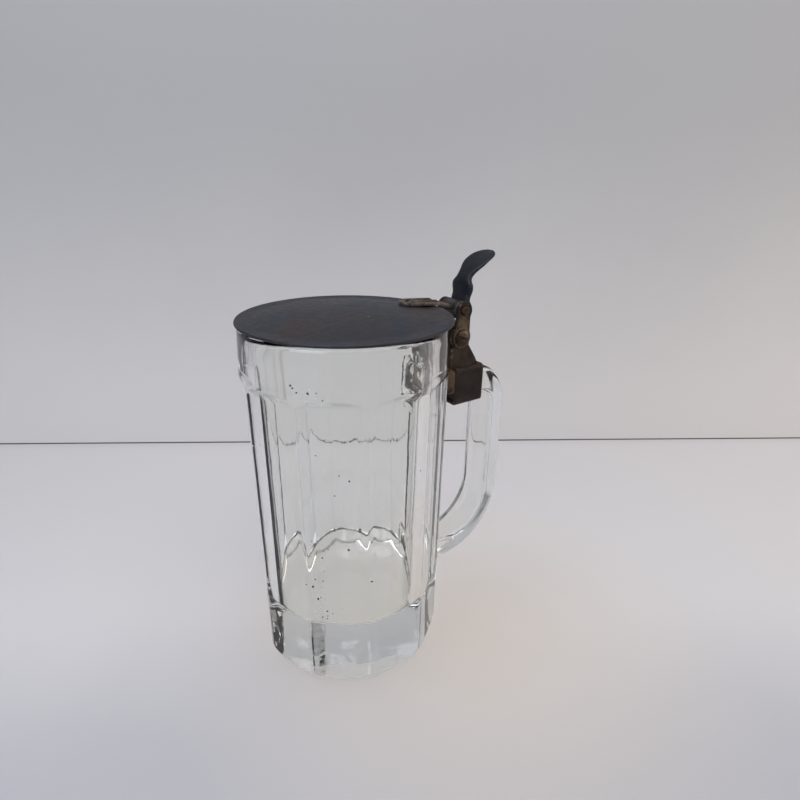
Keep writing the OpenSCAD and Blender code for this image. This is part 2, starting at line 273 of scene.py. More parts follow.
def tarnishedTinLid():
    # tinned sheet gone blue-black: metal under a thin dull oxide, browner where the tin has worn off,
    # hair scratches from wiping and pale pin-prick pits
    material, tree, shader, place = startMaterial("tarnishedTinSheet")
    patch = addNode(tree, "ShaderNodeTexNoise",
                    {"Scale": 38.0, "Detail": 5.0, "Roughness": 0.6, "Distortion": 0.6},
                    {"Vector": place})  # 25 mm stains
    stain = addNode(tree, "ShaderNodeMapRange", {"From Min": 0.42, "From Max": 0.66},
                    {"Value": patch.outputs["Fac"]})
    # 3 mm mottling
    cloud = addNode(tree, "ShaderNodeTexNoise", {"Scale": 320.0, "Detail": 6.0, "Roughness": 0.7},
                    {"Vector": place})
    ground = mixColour(tree, stain.outputs["Result"], "#393f4a", "#4a4240")
    grey = addNode(tree, "ShaderNodeMix", {"data_type": "RGBA", "blend_type": "MULTIPLY", 0: 0.5},
                   {6: ground.outputs[2], 7: cloud.outputs["Fac"]})
    rub = addNode(tree, "ShaderNodeMapping", {"Rotation": (0, 0, 0.5), "Scale": (60.0, 1500.0, 60.0)},
                  {"Vector": place})
    # 0.6 mm hair lines
    lines = addNode(tree, "ShaderNodeTexNoise", {"Scale": 1.0, "Detail": 2.0}, {"Vector": rub.outputs[0]})
    hair = addNode(tree, "ShaderNodeMapRange", {"From Min": 0.6, "From Max": 0.72, "To Max": 0.35},
                   {"Value": lines.outputs["Fac"]})
    scratched = mixColour(tree, hair.outputs["Result"], grey.outputs[2], "#6a6c70")
    # pits 5 mm apart
    dots = addNode(tree, "ShaderNodeTexVoronoi", {"Scale": 210.0, "Randomness": 1.0}, {"Vector": place})
    few = addNode(tree, "ShaderNodeMath", {"operation": "GREATER_THAN", 1: 0.8}, {0: dots.outputs["Color"]})
    near = addNode(tree, "ShaderNodeMapRange",
                   {"From Min": 0.06, "From Max": 0.1, "To Min": 1.0, "To Max": 0.0},
                   {"Value": dots.outputs["Distance"]})
    pit = addNode(tree, "ShaderNodeMath", {"operation": "MULTIPLY"},
                  {0: few.outputs[0], 1: near.outputs["Result"]})
    pitted = mixColour(tree, pit.outputs[0], scratched.outputs[2], "#a9a9a6")
    tree.links.new(pitted.outputs[2], shader.inputs["Base Color"])
    shader.inputs["Metallic"].default_value = 0.75
    dull = addNode(tree, "ShaderNodeMapRange",
                   {"From Min": 0.3, "From Max": 0.7, "To Min": 0.42, "To Max": 0.62},
                   {"Value": cloud.outputs["Fac"]})
    tree.links.new(dull.outputs["Result"], shader.inputs["Roughness"])
    relief = addNode(tree, "ShaderNodeMath", {"operation": "MULTIPLY_ADD", 1: -0.5},
                     {0: hair.outputs["Result"], 2: cloud.outputs["Fac"]})
    addBump(tree, shader, relief.outputs[0], 0.35, 0.0003)
    return material


def agedMetal(name, finish):
    # cast or cut alloy with a dark skin: the skin is rubbed through on edges and round one given spot, where
    # the lighter colour is also a painted highlight; slots and corners get painted shade
    material, tree, shader, place = startMaterial(name)
    grime = addNode(tree, "ShaderNodeTexNoise",
                    {"Scale": 1000.0 / finish["patch"], "Detail": 6.0, "Roughness": 0.65},
                    {"Vector": place})
    spread = addNode(tree, "ShaderNodeMapRange", {"From Min": 0.35, "From Max": 0.65},
                     {"Value": grime.outputs["Fac"]})
    skin = mixColour(tree, spread.outputs["Result"], finish["dark"], finish["main"])
    form = addNode(tree, "ShaderNodeNewGeometry")
    edge = addNode(tree, "ShaderNodeMapRange", {"From Min": 0.51, "From Max": 0.58},
                   {"Value": form.outputs["Pointiness"]})
    # 0.7 mm chips
    chip = addNode(tree, "ShaderNodeTexNoise", {"Scale": 1500.0, "Detail": 3.0}, {"Vector": place})
    broken = addNode(tree, "ShaderNodeMapRange", {"From Min": 0.38, "From Max": 0.6},
                     {"Value": chip.outputs["Fac"]})
    rubbed = addNode(tree, "ShaderNodeMath", {"operation": "MULTIPLY"},
                     {0: edge.outputs["Result"], 1: broken.outputs["Result"]})
    # partly wear, partly painted highlight: the colour turns lighter round one given spot
    spotDistance = addNode(tree, "ShaderNodeVectorMath",
                       {"operation": "DISTANCE", 1: [v * mm for v in finish["spot"]]}, {0: place})
    spotWearAndHighlight = addNode(tree, "ShaderNodeMapRange",
                   {"From Min": finish["reach"] * mm, "From Max": finish["reach"] * mm * 0.4,
                                               "To Max": finish["spotWearAndHighlight"]},
                   {"Value": spotDistance.outputs["Value"]})
    chippedSpotWearAndHighlight = addNode(tree, "ShaderNodeMath", {"operation": "MULTIPLY"},
                       {0: spotWearAndHighlight.outputs["Result"], 1: spread.outputs["Result"]})
    edgeWearAndSpotHighlight = addNode(tree, "ShaderNodeMath", {"operation": "MAXIMUM"},
                   {0: rubbed.outputs[0], 1: chippedSpotWearAndHighlight.outputs[0]})
    tone = mixColour(tree, edgeWearAndSpotHighlight.outputs[0], skin.outputs[2], finish["wearAndHighlightColour"])
    # painted shade in crevices, from an ambient occlusion lookup
    hollow = addNode(tree, "ShaderNodeAmbientOcclusion",
                     {"samples": 8, "only_local": True, "Distance": 0.0015})
    crevicePaintedShade = addNode(tree, "ShaderNodeMapRange",
                     {"From Min": 0.35, "From Max": 0.85, "To Min": 0.15, "To Max": 1.0},
                     {"Value": hollow.outputs["AO"]})
    # painted shade: slots, corners and gaps between parts are darkened towards near black by ambient
    # occlusion
    toneWithPaintedShade = mixColour(tree, crevicePaintedShade.outputs["Result"], "#0d0a08", tone.outputs[2])
    tree.links.new(toneWithPaintedShade.outputs[2], shader.inputs["Base Color"])
    shader.inputs["Metallic"].default_value = finish["metal"]
    gloss = addNode(tree, "ShaderNodeMapRange", {"To Min": finish["rough"], "To Max": finish["rough"] - 0.18},
                    {"Value": edgeWearAndSpotHighlight.outputs[0]})
    tree.links.new(gloss.outputs["Result"], shader.inputs["Roughness"])
    relief = addNode(tree, "ShaderNodeMath", {"operation": "MULTIPLY_ADD", 1: 0.4},
                     {0: chip.outputs["Fac"], 2: grime.outputs["Fac"]})
    addBump(tree, shader, relief.outputs[0], 0.5, 0.0003)
    return material


# each finish's spot and reach place a lighter round patch that is part wear and part painted highlight
cheekFinish = {"main": "#3a2e24", "dark": "#1c1612", "wearAndHighlightColour": "#6c5f49", "patch": 5, "metal": 0.65,
               "rough": 0.6,
               "spot": (57.4, -7.4, 142.6), "reach": 5, "spotWearAndHighlight": 0.75}
bandFinish = {"main": "#2e221c", "dark": "#15100e", "wearAndHighlightColour": "#5d4234", "patch": 7, "metal": 0.55,
              "rough": 0.62,
              "spot": (56, -10.8, 106), "reach": 5, "spotWearAndHighlight": 0.7}
blockFinish = {"main": "#261d17", "dark": "#120e0c", "wearAndHighlightColour": "#463a2c", "patch": 5, "metal": 0.55,
               "rough": 0.65,
               "spot": (51, 0, 141), "reach": 4, "spotWearAndHighlight": 0.3}
screwFinish = {"main": "#463a2f", "dark": "#211914", "wearAndHighlightColour": "#84745c", "patch": 3, "metal": 0.8,
               "rough": 0.42,
               "spot": (56.2, -9.8, 138), "reach": 3, "spotWearAndHighlight": 0.5}
pinFinish = {"main": "#40302a", "dark": "#231611", "wearAndHighlightColour": "#5e4c42", "patch": 3, "metal": 0.75, "rough": 0.5,
             "spot": (57.7, -8.4, 148), "reach": 2, "spotWearAndHighlight": 0.4}
strapFinish = {"main": "#554c45", "dark": "#2f2926", "wearAndHighlightColour": "#8d847a", "patch": 6, "metal": 0.75,
               "rough": 0.48,
               "spot": (32, 0, 154), "reach": 10, "spotWearAndHighlight": 0.4}
knuckleFinish = {"main": "#454144", "dark": "#262325", "wearAndHighlightColour": "#7b736e", "patch": 6, "metal": 0.75,
                 "rough": 0.5,
                 "spot": (55, 0, 152), "reach": 4, "spotWearAndHighlight": 0.35}
liftFinish = {"main": "#1d212a", "dark": "#101117", "wearAndHighlightColour": "#3c4049", "patch": 9, "metal": 0.55,
              "rough": 0.52,
              "spot": (76, 0, 172), "reach": 5, "spotWearAndHighlight": 0.2}

glassFinish = pressedSodaGlass()
lidFinish = tarnishedTinLid()
cheekBronze = agedMetal("brownedCastBronze", cheekFinish)  # browned cast bronze, brassy on rubbed edges and round one spot, where the lighter colour is also a painted highlight
bandIron = agedMetal("blackenedBandSheet", bandFinish)  # sheet band under thick brown-black grime
blockIron = agedMetal("grimyBlockCasting", blockFinish)
screwBrass = agedMetal("dullYellowBrass", screwFinish)
pinCopper = agedMetal("reddishPinBrass", pinFinish)
strapMetal = agedMetal("wornGreyBrass", strapFinish)
knuckleMetal = agedMetal("tarnishedRolledBrass", knuckleFinish)
liftSteel = agedMetal("bluedBlackSteel", liftFinish)
print("materials mixed")


# ---- glass mug ----

mugSizes = {
    "height": 150, "footRadius": 40.8, "shoulderRadius": 42.6, "shoulderHeight": 129, "rimRadius": 41.8,
    "footRound": 5.2, "boreRim": 37.5, "boreFloor": 35.4, "floorHeight": 28.5, "floorRound": 2,
    "panels": 10, "panelShare": 0.955, "panelTop": 127, "runOut": 5, "arrisSoft": 0.22, "archSoft": 0.4,
    "steps": 360,
}
handleSizes = {
    "start": 37.9, "armEnd": 66.6, "armHeight": 115, "topBend": 14.2, "lowBend": 30.2, "grip": 45.8,
    "thick": 12, "wide": 16, "corner": 2.8, "gripThick": 9, "gripWide": 18, "flareUnder": 7, "flareOver": 4,
    "flareSide": 1.5, "wallAt": 41.4,
}


def roundRadius(s, z):
    # outer radius of the round body before its panels
    if z < s["footRound"]:
        rise = s["footRound"] - z
        return s["footRadius"] - s["footRound"] + math.sqrt(max(s["footRound"] ** 2 - rise ** 2, 0))
    if z < s["shoulderHeight"]:
        t = (z - s["footRound"]) / (s["shoulderHeight"] - s["footRound"])
        return s["footRadius"] + t * (s["shoulderRadius"] - s["footRadius"])
    t = (z - s["shoulderHeight"]) / (s["height"] - 2 - s["shoulderHeight"])
    return s["shoulderRadius"] + t * (s["rimRadius"] - s["shoulderRadius"])


def panelDistance(s, z):
    # distance of a panel's plane from the axis, with the hollow run-out at its top
    straight = s["panelShare"] * (s["footRadius"] + min(z, s["panelTop"]) / s["panelTop"]
                                  * (s["shoulderRadius"] - s["footRadius"]))
    climb = z - s["panelTop"]
    if climb <= 0:
        return straight
    if climb >= s["runOut"]:
        return straight + 3 * s["runOut"]
    return straight + s["runOut"] - math.sqrt(s["runOut"] ** 2 - climb ** 2)


def mugProfile(s):
    rimRound = (s["rimRadius"] - s["boreRim"]) / 2
    rimFrom = s["height"] - rimRound
    foot = s["footRadius"] - s["footRound"]
    outer = [(0, 0)] + stepsBetween((0, 0), (foot, 0), 6)
    outer += arcPoints(foot, s["footRound"], s["footRound"], -90, 0, 14)[1:]
    heights = [8, 12, 18, 24, 30, 38, 46, 54, 62, 70, 78, 86, 94, 101, 107, 112, 116, 119, 121, 123]
    heights += [124 + 0.35 * i for i in range(24)] + [133, 135, 138, 141, 144, 146]
    outer += [(roundRadius(s, z), z) for z in heights]
    rim = arcPoints(s["rimRadius"] - rimRound, rimFrom, rimRound, 0, 180, 18)
    boreFrom = s["floorHeight"] + s["floorRound"]
    slope = (s["boreRim"] - s["boreFloor"]) / (rimFrom - s["floorHeight"])
    cornerRadius = s["boreFloor"] + slope * s["floorRound"]
    inner = stepsBetween((s["boreRim"], rimFrom), (cornerRadius, boreFrom), 30)
    inner += arcPoints(cornerRadius - s["floorRound"], boreFrom, s["floorRound"], 0, -90, 12)[1:]
    inner += stepsBetween((cornerRadius - s["floorRound"], s["floorHeight"]), (0, s["floorHeight"]), 6)
    return outer + rim + inner


def buildMug(s, h):
    bm = spunRound(mugProfile(s), s["steps"])
    sector = math.tau / s["panels"]
    for v in bm.verts:
        x, y, z = v.co
        radius = math.hypot(x, y)
        if radius < 0.01:
            continue
        # crowd the lines towards the panel edges, where the shape turns
        angle = math.atan2(y, x)
        part = (angle / sector) % 1.0 * 2 - 1
        near = (1.35 * part - 0.35 * part ** 3 + 1) / 2
        angle = (math.floor(angle / sector) + near) * sector
        limit = roundRadius(s, z) if z < s["height"] - 2.2 else 0
        if limit and radius > limit - 0.3:
            across = (near - 0.5) * sector
            soft = s["arrisSoft"] + (s["archSoft"] - s["arrisSoft"]) * smoothStep(122, 127, z)
            radius = softMin(radius, panelDistance(s, z) / math.cos(across), soft)
        v.co = (radius * math.cos(angle), radius * math.sin(angle), z)
    bm.normal_update()
    mug = makePiece("glass_mug_body", bm, glassFinish, "mug", ["glass_mug"], sharp=60)
    mug.visible_shadow = False  # clear glass lets the room light through to the table
    cutWith(mug, buildHandle(h), "UNION", sharp=60)
    cutWith(mug, buildSeeds(seedSizes), "DIFFERENCE", sharp=60)
    return mug


def pushRing(bm, ring, vec, count):
    # carries the open end of the bar on in a straight line
    for _ in range(count):
        out = bmesh.ops.extrude_edge_only(bm,
                                          edges=[g for g in ring if isinstance(g,
                                                                               bmesh.types.BMEdge)])["geom"]
        bmesh.ops.translate(bm, verts=[g for g in out if isinstance(g, bmesh.types.BMVert)], vec=vec)
        ring = [g for g in out if not isinstance(g, bmesh.types.BMFace)]
        verts = {g for g in ring if isinstance(g, bmesh.types.BMVert)}
        ring = [g for g in ring if g in verts or (isinstance(g,
                                                             bmesh.types.BMEdge) and set(g.verts) <= verts)]
    return ring


def bendRing(bm, ring, centre, degrees, steps):
    return bmesh.ops.spin(bm, geom=ring, cent=(centre[0], 0, centre[1]), axis=(0, 1, 0),
                          angle=math.radians(degrees), steps=steps)["geom_last"]


def flattenGrip(h, v, topCentre, lowCentre):
    # the bar is pressed wider and thinner from the upper bend down
    x, y, z = v.co
    if z > topCentre[1] and x > topCentre[0]:
        centre, bend, turn = topCentre, h["topBend"], math.atan2(z - topCentre[1], x - topCentre[0])
        share = smoothStep(80, 5, math.degrees(turn))
    elif z < lowCentre[1] and x > lowCentre[0]:
        centre, bend, turn = lowCentre, h["lowBend"], math.atan2(z - lowCentre[1], x - lowCentre[0])
        share = smoothStep(-90, -50, math.degrees(turn))
    elif x > topCentre[0]:
        centre, bend, turn, share = (lowCentre[0], z), h["lowBend"], 0.0, 1.0
    else:
        return
    off = math.hypot(x - centre[0], z - centre[1]) - bend
    radius = bend + off * (1 + share * (h["gripThick"] / h["thick"] - 1))
    y *= 1 + share * (h["gripWide"] / h["wide"] - 1)
    v.co = (centre[0] + radius * math.cos(turn), y, centre[1] + radius * math.sin(turn))


def buildHandle(h):
    gripX, gripTop = h["armEnd"] + h["topBend"], h["armHeight"] - h["topBend"]
    lowX, gripLow = gripX - h["lowBend"], gripTop - h["grip"]
    lowHeight = gripLow - h["lowBend"]
    bm = bmesh.new()
    roundedSection(bm, h["start"], h["wide"], h["thick"], h["armHeight"], h["corner"], 7)
    bmesh.ops.subdivide_edges(bm, edges=[e for e in bm.edges if e.calc_length() > 3], cuts=5)
    bmesh.ops.delete(bm, geom=list(bm.faces), context="FACES_ONLY")
    ring = list(bm.edges) + list(bm.verts)
    ring = pushRing(bm, ring, (0.5, 0, 0), 24)
    ring = pushRing(bm, ring, ((h["armEnd"] - h["start"] - 12) / 7, 0, 0), 7)
    ring = bendRing(bm, ring, (h["armEnd"], gripTop), 90, 28)
    ring = pushRing(bm, ring, (0, 0, -h["grip"] / 12), 12)
    ring = bendRing(bm, ring, (lowX, gripLow), 90, 38)
    ring = pushRing(bm, ring, (-(lowX - h["start"] - 12) / 3, 0, 0), 3)
    ring = pushRing(bm, ring, (-0.5, 0, 0), 24)
    bmesh.ops.remove_doubles(bm, verts=bm.verts, dist=0.001)
    bmesh.ops.holes_fill(bm, edges=[e for e in bm.edges if e.is_boundary], sides=0)
    bmesh.ops.recalc_face_normals(bm, faces=bm.faces)
    for v in bm.verts:
        flattenGrip(h, v, (h["armEnd"], gripTop), (lowX, gripLow))
    for v in bm.verts:
        # the two roots spread where they run into the wall
        x, y, z = v.co
        upper = z > 70
        middle = h["armHeight"] if upper else lowHeight
        under = (z < middle) == upper
        reach = h["flareUnder"] if under else h["flareOver"]
        t = min(max((h["wallAt"] + reach - x) / reach, 0), 1)
        if t > 0 and x < lowX + 2:
            spread = 1 - math.sqrt(1 - t * t)
            z += (z - middle) / (h["thick"] / 2) * reach * spread
            y += y / (h["wide"] / 2) * h["flareSide"] * spread
            v.co = (x, y, z)
    return makePiece("tool", bm, None, None, None)


seedSizes = {"seed": 7, "band": 4, "trail": 9, "spread": 12, "bandSpecks": 7, "trailSpecks": 15,
             "straySpecks": 8}


def oneSeed(bm, angle, height, size, stretch):
    turn = math.radians(angle)
    radius = 38.4 + 0.01 * height
    place = Matrix.Translation((radius * math.cos(turn), radius * math.sin(turn), height))
    bmesh.ops.create_icosphere(bm, subdivisions=2, radius=1,
                               matrix=place @ Matrix.Diagonal((size, size, size * stretch, 1)))


def buildSeeds(s):
    # gas seeds frozen in the wall: a few under the band, a trail down one panel edge and a few strays
    pick = random.Random(s["seed"])
    bm = bmesh.new()
    for _ in range(s["band"]):
        oneSeed(bm, -134 + pick.uniform(-12, 10), 132 + pick.uniform(-3, 4), pick.uniform(0.25, 0.4),
                pick.uniform(1, 1.6))
    for _ in range(s["trail"]):
        oneSeed(bm, -136 + pick.gauss(0, 3), 36 + 50 * pick.random() ** 1.5, pick.uniform(0.25, 0.5),
                pick.uniform(1, 1.8))
    for _ in range(s["spread"]):
        oneSeed(bm, pick.uniform(-180, 180), pick.uniform(34, 120), pick.uniform(0.2, 0.4),
                pick.uniform(1, 1.8))
    return makePiece("tool", bm, None, None, None)


def darkScale():
    # flakes of mould scale caught in the melt: almost black, dull
    material, tree, shader, place = startMaterial("trappedMouldScale")
    grain = addNode(tree, "ShaderNodeTexNoise", {"Scale": 2500.0, "Detail": 2.0}, {"Vector": place})  # 0.4 mm
    tone = mixColour(tree, grain.outputs["Fac"], "#12110f", "#39342c")
    tree.links.new(tone.outputs[2], shader.inputs["Base Color"])
    dull = addNode(tree, "ShaderNodeMapRange", {"To Min": 0.7, "To Max": 0.95},
                   {"Value": grain.outputs["Fac"]})
    tree.links.new(dull.outputs["Result"], shader.inputs["Roughness"])
    addBump(tree, shader, grain.outputs["Fac"], 0.4, 0.00005)
    return material


def buildSpecks(s):
    # dark specks in the glass beside the seeds
    pick = random.Random(s["seed"] + 4)
    bm = bmesh.new()
    for _ in range(s["bandSpecks"]):
        oneSeed(bm, -136 + pick.uniform(-12, 10), 133 + pick.uniform(-2.5, 2.5), pick.uniform(0.22, 0.42),
                1.0)
    for _ in range(s["trailSpecks"]):
        oneSeed(bm, -137 + pick.gauss(0, 3), 34 + 54 * pick.random() ** 1.3, pick.uniform(0.2, 0.45),
                pick.uniform(1, 1.5))
    for _ in range(s["straySpecks"]):
        oneSeed(bm, -112 + pick.uniform(-30, 30), pick.uniform(34, 110), pick.uniform(0.2, 0.5), 1.0)
    makePiece("glass_specks_scale", bm, darkScale(), "mug", ["glass_mug"])


buildMug(mugSizes, handleSizes)
buildSpecks(seedSizes)
print("mug blown")


# ---- clamp on the handle ----

bandSizes = {"from": 51.8, "long": 16.2, "half": 10.8, "low": 104.6, "high": 122.9, "sheet": 1.5,
             "corner": 2.0}


def buildBand(s):
    bm = bmesh.new()
    corners = [bm.verts.new((s["from"], y, z)) for y, z in
               ((-s["half"], s["low"]), (s["half"], s["low"]), (s["half"], s["high"]),
                (-s["half"], s["high"]))]
    bm.faces.new(corners)
    bmesh.ops.bevel(bm, geom=corners, offset=s["corner"], offset_type="OFFSET", affect="VERTICES", segments=5,
                    profile=0.5, material=-1)
    bmesh.ops.subdivide_edges(bm, edges=[e for e in bm.edges if e.calc_length() > 5], cuts=11)
    bmesh.ops.delete(bm, geom=list(bm.faces), context="FACES_ONLY")
    pushRing(bm, list(bm.edges) + list(bm.verts), (s["long"] / 12, 0, 0), 12)
    bmesh.ops.recalc_face_normals(bm, faces=bm.faces)
    bmesh.ops.solidify(bm, geom=list(bm.faces), thickness=s["sheet"])
    bmesh.ops.recalc_face_normals(bm, faces=bm.faces)
    bevelSharp(bm, 0.35, 2, 60)
    dentSheet(bm, -0.12, 6, 2)
    return makePiece("clamp_band_sheet", bm, bandIron, "mug", ["clamp_band"])


buildBand(bandSizes)

cheekSizes = {
    "pin": pinAt, "eye": 4.2, "screw": screwAt, "boss": 5.3, "base": (48.6, 65.2), "low": 122.9,
    "flareFrom": 131.5, "inner": 5.8, "sheet": 1.6, "flare": 2.0,
}


def cheekSides(s, z):
    # left and right edge of a cheek at height z
    def bulge(centre, radius):
        rise = abs(z - centre[1])
        half = math.sqrt(radius ** 2 - rise ** 2) if rise < radius else -9.0
        return centre[0] - half, centre[0] + half
    eye, boss = bulge(s["pin"], s["eye"]), bulge(s["screw"], s["boss"])
    t = min(max((s["pin"][1] - z) / (s["pin"][1] - s["screw"][1]), 0), 1)
    neck = (54.2 - 2.0 * t, 61.1 - 0.2 * t) if z <= s["pin"][1] else (99, -99)
    left, right = softMin(softMin(eye[0], boss[0], 0.8), neck[0], 0.6), softMax(softMax(eye[1], boss[1], 0.8),
                                                                                neck[1], 0.6)
    if z < s["flareFrom"]:
        t = (s["flareFrom"] - z) / (s["flareFrom"] - s["low"])
        left = softMin(left, 51.3 + t * (s["base"][0] - 51.3), 0.8)
        right = softMax(right, 61.1 + t * (s["base"][1] - 61.1), 0.8)
    if z > s["pin"][1]:
        return eye
    return left, right


def buildCheek(s, side, name, seed):
    bm = bmesh.new()
    bmesh.ops.create_grid(bm, x_segments=16, y_segments=72, size=1)
    top = s["pin"][1] + s["eye"]
    for v in bm.verts:
        across, up = v.co.x, (v.co.y + 1) / 2
        z = s["low"] + (top - s["low"]) * (1 - (1 - up) ** 1.35)
        left, right = cheekSides(s, z)
        x = (left + right) / 2 + across * max(right - left, 0.002) / 2
        bend = smoothStep(s["flareFrom"] + 1.5, s["low"], z) * s["flare"]
        v.co = (x, side * (s["inner"] + bend), z)
    bmesh.ops.remove_doubles(bm, verts=bm.verts, dist=0.01)
    bmesh.ops.recalc_face_normals(bm, faces=bm.faces)
    faceOut = sum(f.normal.y * side for f in bm.faces) > 0
    if not faceOut:
        bmesh.ops.reverse_faces(bm, faces=bm.faces)
    bmesh.ops.solidify(bm, geom=list(bm.faces), thickness=-s["sheet"])
    bmesh.ops.recalc_face_normals(bm, faces=bm.faces)
    bevelSharp(bm, 0.35, 3, 60)
    dentSheet(bm, 0.08, 4, seed)
    piece = makePiece(name + "_plate", bm, cheekBronze, "mug", [name])
    cutWith(piece, rodTool(shankBore, -12, 12, *s["pin"]))
    cutWith(piece, rodTool(shankBore, -12, 12, *s["screw"]))
    return piece


buildCheek(cheekSizes, -1, "near_cheek", 3)
buildCheek(cheekSizes, 1, "far_cheek", 5)

blockSizes = {"x": (51.2, 61), "half": 5.75, "z": (122.9, 141.4), "clear": 7.2}


def buildBlock(s):
    bm = bmesh.new()
    middle = (sum(s["x"]) / 2, 0, sum(s["z"]) / 2)
    bmesh.ops.create_cube(bm, size=1, matrix=Matrix.Translation(middle)
                          @ Matrix.Diagonal((s["x"][1] - s["x"][0], 2 * s["half"], s["z"][1] - s["z"][0], 1)))
    bmesh.ops.subdivide_edges(bm, edges=bm.edges, cuts=7, use_grid_fill=True)
    block = makePiece("saddle_block_cast", bm, blockIron, "mug", ["saddle_block"])
    cutWith(block, rodTool(s["clear"], -9, 9, *pinAt, 64))
    cutWith(block, rodTool(shankBore, -9, 9, *screwAt))
    wearAndHighlightColour = bmesh.new()
    wearAndHighlightColour.from_mesh(block.data)
    bmesh.ops.scale(wearAndHighlightColour, vec=(1000, 1000, 1000), verts=wearAndHighlightColour.verts)
    bevelSharp(wearAndHighlightColour, 0.4, 2, 50)
    bmesh.ops.scale(wearAndHighlightColour, vec=(mm, mm, mm), verts=wearAndHighlightColour.verts)
    wearAndHighlightColour.to_mesh(block.data)
    wearAndHighlightColour.free()
    block.data.shade_smooth()
    block.data.set_sharp_from_angle(angle=math.radians(32))


buildBlock(blockSizes)

screwSizes = {"head": 3.8, "high": 1.7, "shank": 1.75, "face": 8.1, "slotWide": 1.3, "slotDeep": 1.3,
              "slotTurn": -22}
washerSizes = {"radius": 5.0, "high": 0.7, "bore": 1.8, "face": 7.4}
nutSizes = {"flats": 6.4, "high": 2.6, "bore": 1.76, "face": 7.4}
pinSizes = {"radius": 1.8, "head": 2.1, "headHigh": 0.8, "half": 7.4}


def buildScrew(s):
    # cheese head with a worn domed top, seen from the near side
    tail = -(s["face"] + 7.4 + 3.2)
    profile = [(0, tail), (s["shank"] - 0.3, tail), (s["shank"], tail + 0.3), (s["shank"], -0.01),
               (s["head"] - 0.25, -0.01),
               (s["head"], 0.25), (s["head"], s["high"] - 0.85)]
    profile += arcPoints(s["head"] - 0.6, s["high"] - 0.85, 0.6, 0, 70, 5)[1:]
    profile += [(2.4, s["high"] - 0.16), (1.2, s["high"] - 0.03), (0, s["high"])]
    bm = spunRound(profile, 56)
    bmesh.ops.translate(bm, verts=bm.verts, vec=(0, 0, s["face"]))
    layAlongY(bm, *screwAt)
    screw = makePiece("clamp_screw_turned", bm, screwBrass, "mug", ["clamp_screw"])
    bm = bmesh.new()
    bmesh.ops.create_cube(bm, size=1, matrix=Matrix.Diagonal((12, 2, s["slotWide"], 1)))
    bmesh.ops.rotate(bm, verts=bm.verts, cent=(0, 0, 0),
                     matrix=Matrix.Rotation(math.radians(-s["slotTurn"]), 3, "Y"))
    bmesh.ops.translate(bm, verts=bm.verts,
                        vec=(screwAt[0], -(s["face"] + s["high"] - s["slotDeep"] + 1), screwAt[1]))
    cutWith(screw, makePiece("tool", bm, None, None, None))


def buildWasher(s):
    r, h = s["radius"], s["high"]
    bm = spunRound([(s["bore"], 0), (r - 0.15, 0), (r, 0.15), (r, h - 0.2), (r - 0.25, h), (s["bore"], h)],
                   64, closed=True)
    bmesh.ops.translate(bm, verts=bm.verts, vec=(0, 0, s["face"]))
    layAlongY(bm, *screwAt)
    makePiece("clamp_washer_ring", bm, cheekBronze, "mug", ["clamp_washer"])


def buildNut(s):
    bm = bmesh.new()
    corner = s["flats"] / 2 / math.cos(math.pi / 6)
    bmesh.ops.create_cone(bm, cap_ends=True, segments=6, radius1=corner, radius2=corner, depth=s["high"])
    bmesh.ops.rotate(bm, verts=bm.verts, cent=(0, 0, 0), matrix=Matrix.Rotation(math.radians(30), 3, "Z"))
    bevelSharp(bm, 0.3, 2, 30)
    bmesh.ops.translate(bm, verts=bm.verts, vec=(0, 0, -(s["face"] + s["high"] / 2)))
    layAlongY(bm, *screwAt)
    nut = makePiece("clamp_nut_hex", bm, screwBrass, "mug", ["clamp_nut"])
    cutWith(nut, rodTool(s["bore"], 5, 13, *screwAt))


def buildPin(s):
    end = s["half"] + s["headHigh"]
    head = [(s["head"], s["half"] + 0.2)] + arcPoints(s["head"] - 0.8, s["half"] + 0.2, 0.8, 0, 90,
                                                      5)[1:] + [(0, end)]
    upper = [(s["radius"], s["half"]), (s["head"] - 0.2, s["half"])] + head
    profile = [(r, -z) for r, z in reversed(upper)] + upper
    bm = spunRound(profile, 48)
    layAlongY(bm, *pinAt)
    makePiece("hinge_pin_riveted", bm, pinCopper, "mug", ["hinge_pin"])


buildScrew(screwSizes)
buildWasher(washerSizes)
buildNut(nutSizes)
buildPin(pinSizes)

packingSizes = {"x": (53.4, 67.2), "half": 9.25, "z": (106.15, 121.35), "bite": 0.12, "corner": 2.7}


def packingCork():
    # old cork and pitch pressed tight round the glass: brown, dry and crumbly
    material, tree, shader, place = startMaterial("crumblyCork")
    grain = addNode(tree, "ShaderNodeTexVoronoi", {"Scale": 800.0}, {"Vector": place})  # 1.2 mm granules
    stain = addNode(tree, "ShaderNodeTexNoise", {"Scale": 180.0, "Detail": 3.0}, {"Vector": place})
    tone = mixColour(tree, grain.outputs["Distance"], "#5a4838", "#a0856b")
    aged = mixColour(tree, stain.outputs["Fac"], tone.outputs[2], "#76614e")
    reach = addNode(tree, "ShaderNodeSeparateXYZ", {}, {0: place})
    pastShadedEnd = addNode(tree, "ShaderNodeMapRange", {"From Min": 0.0545, "From Max": 0.0585},
                     {"Value": reach.outputs["X"]})
    # painted shade: the cork's end towards the mug, below x 54.5 mm, is painted near black
    corkWithPaintedShade = mixColour(tree, pastShadedEnd.outputs["Result"], "#1f1814", aged.outputs[2])
    tree.links.new(corkWithPaintedShade.outputs[2], shader.inputs["Base Color"])
    dry = addNode(tree, "ShaderNodeMapRange", {"To Min": 0.8, "To Max": 0.95},
                  {"Value": stain.outputs["Fac"]})
    tree.links.new(dry.outputs["Result"], shader.inputs["Roughness"])
    addBump(tree, shader, grain.outputs["Distance"], 0.8, 0.0004)
    return material


